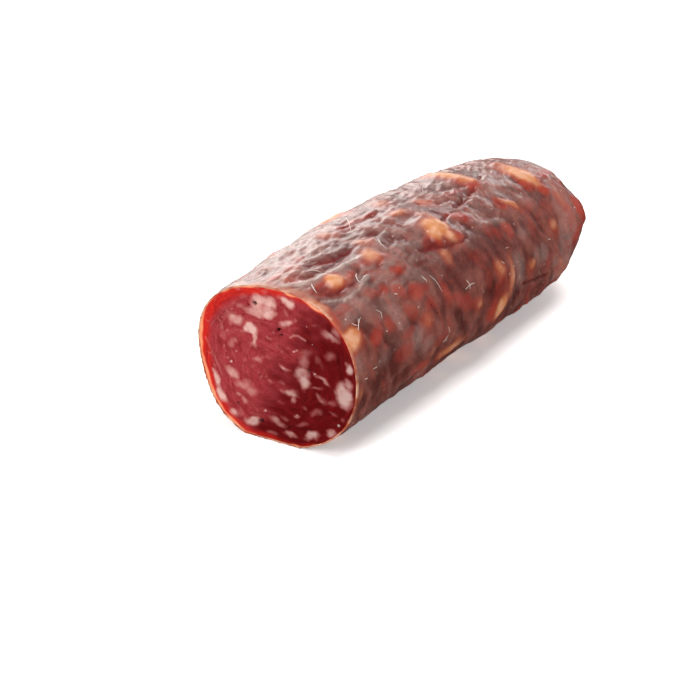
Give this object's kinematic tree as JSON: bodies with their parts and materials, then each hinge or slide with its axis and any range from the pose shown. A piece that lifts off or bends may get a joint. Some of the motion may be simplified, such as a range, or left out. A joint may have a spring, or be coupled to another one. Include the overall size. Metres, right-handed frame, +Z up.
{
  "type": "cured sausage",
  "caption": "Dry-cured salami-type sausage with a straight cut face at one end and the closed, gathered end of its gut casing at the other.",
  "frame": {"origin": "middle of the bounding box's base: under the sausage, on the surface that it rests on", "axes": "+Y along the sausage from the cut face to the closed end, +Z up, +X to the right when the cut face is looked at"},
  "size_m": [0.0524, 0.1464, 0.0464],
  "materials": {
    "gut_casing": "dried natural gut, brown-mauve and half transparent, with red meat and orange fat showing through and fine wrinkles along the sausage",
    "cured_meat": "fresh-cut cured meat, moist rose to deep red with soft white fat pieces and a brighter red dried rim"
  },
  "bodies": {
    "root": {"casing": "gut_casing", "filling": "cured_meat"}
  },
  "joints": []
}
